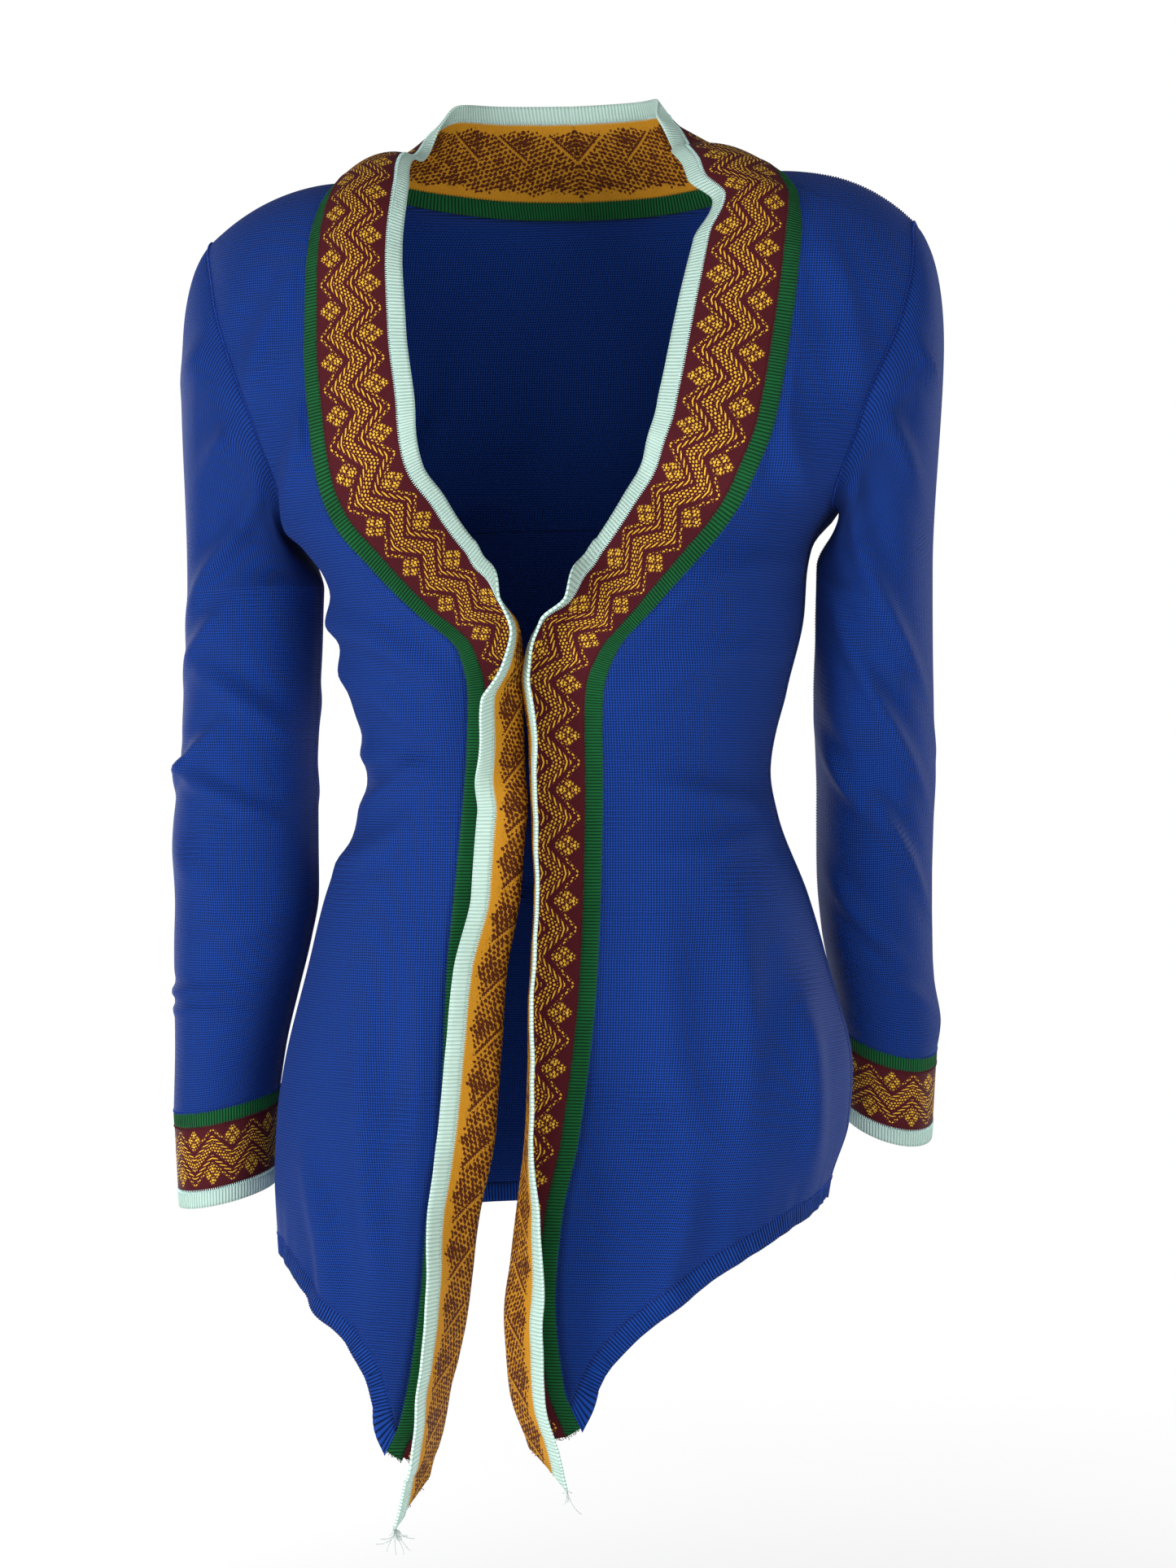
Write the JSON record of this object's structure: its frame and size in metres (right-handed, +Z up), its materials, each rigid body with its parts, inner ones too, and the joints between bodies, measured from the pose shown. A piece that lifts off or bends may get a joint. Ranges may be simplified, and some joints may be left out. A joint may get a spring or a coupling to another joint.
{
  "type": "cardigan",
  "caption": "Fitted fine-knit cardigan with long set-in sleeves, a deep V front, a folded-back patterned border band and matching cuffs.",
  "frame": {"origin": "midway between the neck ends of the two shoulder seams, where the wearer's shoulders hold it", "axes": "+Z up, the front faces -Y, +X is the right side as seen from the front"},
  "size_m": [0.4521, 0.29, 0.8068],
  "materials": {
    "blue": "matte",
    "green": "matte",
    "jacquard": "matte",
    "mint": "matte"
  },
  "bodies": {
    "root": {"back": "blue", "band_green_left": "green", "band_green_right": "green", "band_jacquard_left": "jacquard", "band_jacquard_right": "jacquard", "band_mint_left": "mint", "band_mint_right": "mint", "cuff_green_left": "green", "cuff_green_right": "green", "cuff_jacquard_left": "jacquard", "cuff_jacquard_right": "jacquard", "cuff_mint_left": "mint", "cuff_mint_right": "mint", "front_left": "blue", "front_right": "blue", "hem_rib_back": "blue", "hem_rib_front_left": "blue", "hem_rib_front_right": "blue", "sleeve_left": "blue", "sleeve_right": "blue"}
  },
  "joints": []
}
